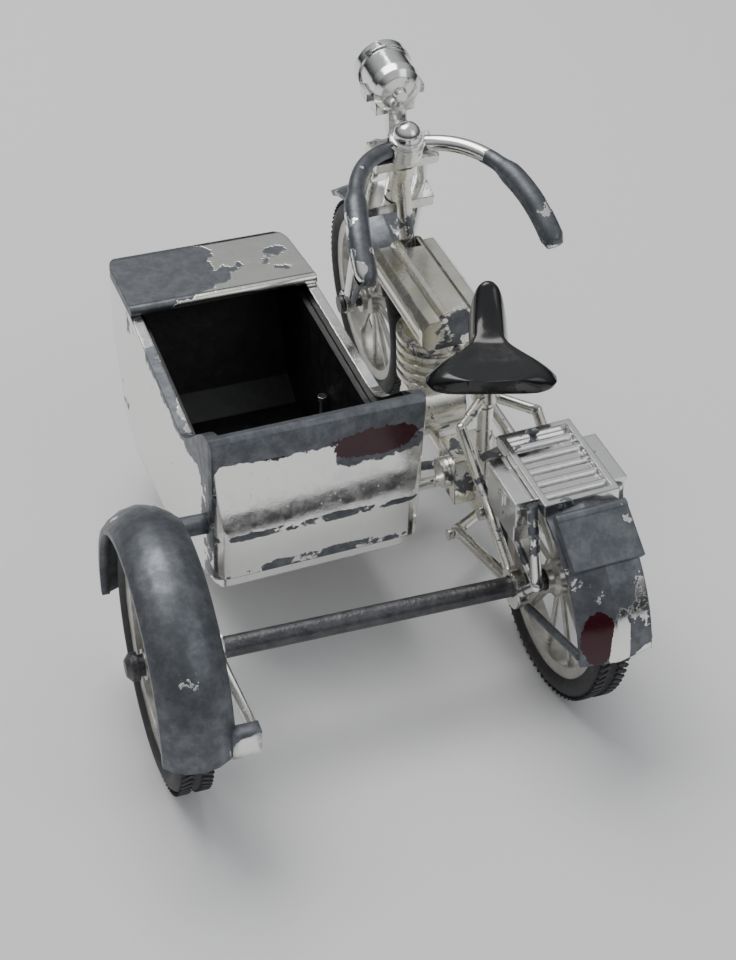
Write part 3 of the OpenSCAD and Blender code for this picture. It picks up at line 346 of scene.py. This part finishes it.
def tyreBody(size):
    r, s, w = size["radius"] - size["ribDepth"], size["seat"], size["width"] / 2
    h = r - s
    profile = [(s, -0.66), (s + 0.12, -0.95), (s + 0.3 * h, -w + 0.06), (s + 0.5 * h, -w), (s + 0.72 * h, -w + 0.1), (s + 0.88 * h, -w + 0.34), (r - 0.02, -w + 0.7), (r, -0.3), (r - 0.14, -0.22),
               (r - 0.14, 0.22), (r, 0.3), (r - 0.02, w - 0.7), (s + 0.88 * h, w - 0.34), (s + 0.72 * h, w - 0.1), (s + 0.5 * h, w), (s + 0.3 * h, w - 0.06), (s + 0.12, 0.95), (s, 0.66)]
    n, m = size["steps"], len(profile)
    verts = [(x, rad * math.sin(2 * math.pi * i / n), rad * math.cos(2 * math.pi * i / n)) for i in range(n) for rad, x in profile]
    faces = [(i * m + j, i * m + (j + 1) % m, ((i + 1) % n) * m + (j + 1) % m, ((i + 1) % n) * m + j) for i in range(n) for j in range(m)]
    return verts, faces


def treadTree():
    tree = bpy.data.node_groups.new("ribbedTread", "GeometryNodeTree")
    face = tree.interface
    face.new_socket("Geometry", in_out="INPUT", socket_type="NodeSocketGeometry")
    for label, kind in (("Ribs", "NodeSocketInt"), ("Radius", "NodeSocketFloat"), ("Rib Size", "NodeSocketVector"), ("Side", "NodeSocketFloat"), ("Slant", "NodeSocketFloat"), ("Finish", "NodeSocketMaterial")):
        face.new_socket(label, in_out="INPUT", socket_type=kind)
    face.new_socket("Geometry", in_out="OUTPUT", socket_type="NodeSocketGeometry")
    given, out = tree.nodes.new("NodeGroupInput"), tree.nodes.new("NodeGroupOutput")
    join = tree.nodes.new("GeometryNodeJoinGeometry")
    rib = add(tree, "GeometryNodeMeshCube", {"Size": given.outputs["Rib Size"]})
    for side in (-1.0, 1.0):
        ring = add(tree, "GeometryNodeMeshCircle", {"Vertices": given.outputs["Ribs"], "Radius": given.outputs["Radius"]})
        index = add(tree, "GeometryNodeInputIndex")
        turn = calc(tree, "DIVIDE", calc(tree, "MULTIPLY", index.outputs[0], 2 * math.pi), given.outputs["Ribs"])
        angles = add(tree, "ShaderNodeCombineXYZ", {"X": calc(tree, "MULTIPLY", given.outputs["Slant"], side), "Y": 0.0, "Z": turn})
        put = add(tree, "GeometryNodeInstanceOnPoints", {"Points": ring.outputs["Mesh"], "Instance": rib.outputs["Mesh"], "Rotation": angles.outputs[0]})
        move = add(tree, "ShaderNodeCombineXYZ", {"X": 0.0, "Y": 0.0, "Z": calc(tree, "MULTIPLY", given.outputs["Side"], side)})
        placed = add(tree, "GeometryNodeTransform", {"Geometry": put.outputs[0], "Translation": move.outputs[0]})
        upright = add(tree, "GeometryNodeTransform", {"Geometry": placed.outputs[0], "Rotation": (0.0, math.pi / 2, 0.0)})
        tree.links.new(upright.outputs[0], join.inputs[0])
    tree.links.new(given.outputs["Geometry"], join.inputs[0])
    real = add(tree, "GeometryNodeRealizeInstances", {"Geometry": join.outputs[0]})
    paint = add(tree, "GeometryNodeSetMaterial", {"Geometry": real.outputs[0], "Material": given.outputs["Finish"]})
    tree.links.new(paint.outputs[0], out.inputs[0])
    return tree


def setInputs(modifier, values):
    for item in modifier.node_group.interface.items_tree:
        if item.item_type == "SOCKET" and item.in_out == "INPUT" and item.name in values:
            modifier[item.identifier] = values[item.name]


def makeTyres():
    tree = treadTree()
    lean = bikeMatrix()
    places = {"front_tyre": ("front_wheel", lean @ Matrix.Translation(Vector((0, -stance["wheelbase"], stance["wheelRadius"])))),
              "rear_tyre": ("rear_wheel", Matrix.Translation(Vector((0, 0, stance["wheelRadius"])))),
              "sidecar_tyre": ("sidecar_wheel", Matrix.Translation(Vector((stance["track"], 0, stance["wheelRadius"]))))}
    verts, faces = tyreBody(tyre)
    for node, (body, place) in places.items():
        piece = newPiece(node + "Treaded", verts, faces, Matrix.Identity(4), "rubber")
        modifier = piece.modifiers.new("tread", "NODES")
        modifier.node_group = tree
        setInputs(modifier, {"Ribs": tyre["ribs"], "Radius": tyre["radius"] - tyre["ribDepth"] * 0.62, "Rib Size": (tyre["ribDepth"] * 1.2, tyre["ribWidth"], tyre["ribLength"]),
                             "Side": 0.72, "Slant": 0.5, "Finish": finishes["rubber"]})
        finished(piece)
        piece.data.transform(toRow(place))
        piece.data.update()
        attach(piece, body)
        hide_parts(node)
    print("tyres made")


# ---- handlebar: one swept casting with ringed grip ends ----
handlebar = {"reach": 7.9, "back": 13.4, "clampHeight": 22.02, "bar": 1.35, "grip": 1.9, "sides": 28, "rings": 64}


def sweptTube(points, radii, sides):
    verts, faces = [], []
    count = len(points)
    for i, p in enumerate(points):
        before, after = points[max(0, i - 1)], points[min(count - 1, i + 1)]
        way = (after - before).normalized()
        u = way.cross(Vector((0, 0, 1))).normalized()
        w = u.cross(way)
        for j in range(sides):
            a = 2 * math.pi * j / sides
            verts.append(p + radii[i] * (math.cos(a) * u + math.sin(a) * w))
    for i in range(count - 1):
        for j in range(sides):
            a, b = i * sides + j, i * sides + (j + 1) % sides
            faces.append((a, b, b + sides, a + sides))
    faces.append(tuple(range(sides - 1, -1, -1)))
    faces.append(tuple((count - 1) * sides + j for j in range(sides)))
    return verts, faces


def makeHandlebar():
    h = handlebar
    g, k, z = h["reach"], h["back"], h["clampHeight"]
    corner = [Vector((0, 0, z)), Vector((0.66 * g, 0, z)), Vector((0.92 * g, 0.45 * k, z + 3.73)), Vector((g, k, z + 1.03))]
    points, radii = [], []
    for i in range(-h["rings"], h["rings"] + 1):
        t = abs(i) / h["rings"]
        q = 1 - t
        p = q ** 3 * corner[0] + 3 * q * q * t * corner[1] + 3 * q * t * t * corner[2] + t ** 3 * corner[3]
        points.append(Vector((math.copysign(p.x, i) if i else 0, p.y, p.z)))
        e = min(1, max(0, (t - 0.56) / 0.1))
        r = h["bar"] / 2 + (h["grip"] - h["bar"]) / 2 * e * e * (3 - 2 * e)
        if t > 0.955:
            r = h["grip"] * (0.5 if t < 0.975 else 0.43)
        if t > 0.99:
            r = h["grip"] * 0.36
        radii.append(r)
    verts, faces = sweptTube(points, radii, h["sides"])
    piece = newPiece("handlebarCast", verts, faces, toRow(forkMatrix()), "bar")
    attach(piece, "fork")
    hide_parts("handlebar")
    print("handlebar made")


# ---- saddle: a dished seat with rounded wings and a raised nose ----
saddle = {"width": 9.8, "length": 9.8, "under": 22.5, "edge": 1.7, "noseRise": 2.6, "turn": 20.0, "postY": -14.0, "nose": 2.35}


def saddleHalf(u, width):
    nose, wing = width * 0.155, width / 2
    m = min(1.0, max(0.0, (u - 0.42) / 0.40))
    base = nose * (math.sqrt(max(0.0, 1 - ((0.16 - u) / 0.16) ** 2)) if u < 0.16 else 1) + (wing - nose) * m * m * (3 - 2 * m)
    tail = 1.0 if u < 0.86 else math.sqrt(max(0.0, 1 - ((u - 0.86) / 0.14) ** 2)) * 0.62 + 0.38
    return base * tail


def makeSaddle():
    s = saddle
    rows, cols = 56, 20
    top, verts, faces = [], [], []

    def height(u, side):
        # side 0 in the middle, 1 at the rim
        noseUp = s["noseRise"] * (1 - min(1.0, max(0.0, (u - 0.12) / 0.42))) ** 1.6
        rimDrop = s["edge"] * 0.75 * max(0.0, (side - 0.55) / 0.45) ** 2.4
        dish = 0.35 * (1 - side * side) * min(1.0, max(0.0, (u - 0.45) / 0.3))
        crown = noseUp * (1 - 0.75 * side ** 2.5)
        front = s["edge"] * 0.5 * max(0.0, (0.1 - u) / 0.1) ** 2
        return s["edge"] + crown - rimDrop - dish - front

    for i in range(rows + 1):
        u = 0.004 + 0.992 * i / rows
        half = max(0.05, saddleHalf(u, s["width"]) - 0.02)
        y = -s["nose"] + u * s["length"]
        for j in range(cols + 1):
            side = 2 * j / cols - 1
            side = math.copysign(abs(side) ** 0.8, side)
            top.append((side * half, y, height(u, abs(side))))
    verts = list(top)
    low = [(x * 0.97, y if i // (cols + 1) not in (0, rows) else y * 0.985, 0.12) for i, (x, y, z) in enumerate(top)]
    verts += low
    n = len(top)
    w = cols + 1
    for i in range(rows):
        for j in range(cols):
            a = i * w + j
            faces.append((a, a + 1, a + 1 + w, a + w))
            faces.append((n + a, n + a + w, n + a + 1 + w, n + a + 1))
    rim = [j for j in range(w)] + [i * w + cols for i in range(1, rows + 1)] + [rows * w + j for j in range(cols - 1, -1, -1)] + [i * w for i in range(rows - 1, 0, -1)]
    for a, b in zip(rim, rim[1:] + rim[:1]):
        faces.append((a, n + a, n + b, b))
    place = bikeMatrix() @ Matrix.Translation(Vector((0, s["postY"], s["under"]))) @ Matrix.Rotation(math.radians(-s["turn"]), 4, "Z")
    piece = newPiece("saddleMoulded", verts, faces, toRow(place), "saddle")
    edge = piece.modifiers.new("rounding", "BEVEL")
    edge.width, edge.segments, edge.limit_method, edge.angle_limit = 0.28 * mm, 3, "ANGLE", math.radians(50)
    finished(piece)
    for face in piece.data.polygons:
        face.use_smooth = True
    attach(piece, "saddle")
    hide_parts("saddle")
    print("saddle made")


makeTyres()
makeHandlebar()
makeSaddle()


# ---- floor, light and camera ----
studio = {"floor": 0.6, "lift": -0.00004, "floorTone": (0.79, 0.79, 0.795), "world": 0.58, "key": 1.0, "fill": 0.25}


def makeStudio():
    size = studio["floor"]
    mesh = bpy.data.meshes.new("floor")
    z = studio["lift"]
    mesh.from_pydata([(-size, -size, z), (size, -size, z), (size, size, z), (-size, size, z)], [], [(0, 1, 2, 3)])
    floor = bpy.data.objects.new("floor", mesh)
    bpy.context.collection.objects.link(floor)
    mat = bpy.data.materials.new("paleFloor")
    mat.use_nodes = True
    t = mat.node_tree
    shader = t.nodes["Principled BSDF"]
    coord = add(t, "ShaderNodeTexCoord")
    soft = add(t, "ShaderNodeTexNoise", {"Vector": coord.outputs["Object"], "Scale": 400.0, "Detail": 3.0})
    t.links.new(blendColour(t, calc(t, "MULTIPLY", soft.outputs["Fac"], 0.12), studio["floorTone"], (0.84, 0.84, 0.84)), shader.inputs["Base Color"])
    shader.inputs["Roughness"].default_value = 0.75
    bump = add(t, "ShaderNodeBump", {"Height": soft.outputs["Fac"], "Strength": 0.25, "Distance": 0.0004})
    t.links.new(bump.outputs[0], shader.inputs["Normal"])
    mesh.materials.append(mat)

    world = bpy.data.worlds.new("softRoom")
    world.use_nodes = True
    bpy.context.scene.world = world
    t = world.node_tree
    back = t.nodes["Background"]
    coord = add(t, "ShaderNodeTexCoord")
    parts = add(t, "ShaderNodeSeparateXYZ", {0: coord.outputs["Generated"]})
    up = ramp(t, parts.outputs["Z"], 0.0, 0.75)
    t.links.new(blendColour(t, up, (0.05, 0.052, 0.056), (0.92, 0.94, 0.97)), back.inputs["Color"])
    back.inputs["Strength"].default_value = studio["world"]

    def lamp(name, place, target, size, power, tint):
        data = bpy.data.lights.new(name, "AREA")
        data.shape, data.size, data.size_y, data.energy, data.color = "RECTANGLE", size[0], size[1], power, tint
        obj = bpy.data.objects.new(name, data)
        obj.location = place
        obj.rotation_euler = (Vector(target) - Vector(place)).to_track_quat("-Z", "Y").to_euler()
        bpy.context.collection.objects.link(obj)

    lamp("windowLight", (0.08, -0.16, 0.42), (0, 0, 0.01), (0.34, 0.26), 1.5 * studio["key"], (1.0, 0.99, 0.97))
    lamp("roomFill", (-0.25, 0.3, 0.3), (0, 0, 0.01), (0.25, 0.25), 1.0 * studio["fill"], (0.95, 0.97, 1.0))


view = {"place": (47.435, 79.432, 91.467), "yaw": 0.374, "pitch": 0.679, "roll": 0.056, "lens": 78.4}


def makeCamera():
    s = view
    sy, cy, sp, cp = math.sin(s["yaw"]), math.cos(s["yaw"]), math.sin(s["pitch"]), math.cos(s["pitch"])
    ahead = Vector((-sy * cp, -cy * cp, -sp))
    right = Vector((-cy, sy, 0))
    up = right.cross(ahead)
    sr, cr = math.sin(s["roll"]), math.cos(s["roll"])
    right, up = right * cr + up * sr, up * cr - right * sr
    data = bpy.data.cameras.new("camera")
    data.sensor_fit, data.sensor_width, data.lens, data.clip_start = "HORIZONTAL", 36.0, s["lens"], 0.005
    camera = bpy.data.objects.new("camera", data)
    camera.matrix_world = Matrix.Translation(at(*s["place"])) @ Matrix((right, up, -ahead)).transposed().to_4x4()
    bpy.context.collection.objects.link(camera)
    bpy.context.scene.camera = camera


makeStudio()
makeCamera()
print("studio and camera set")
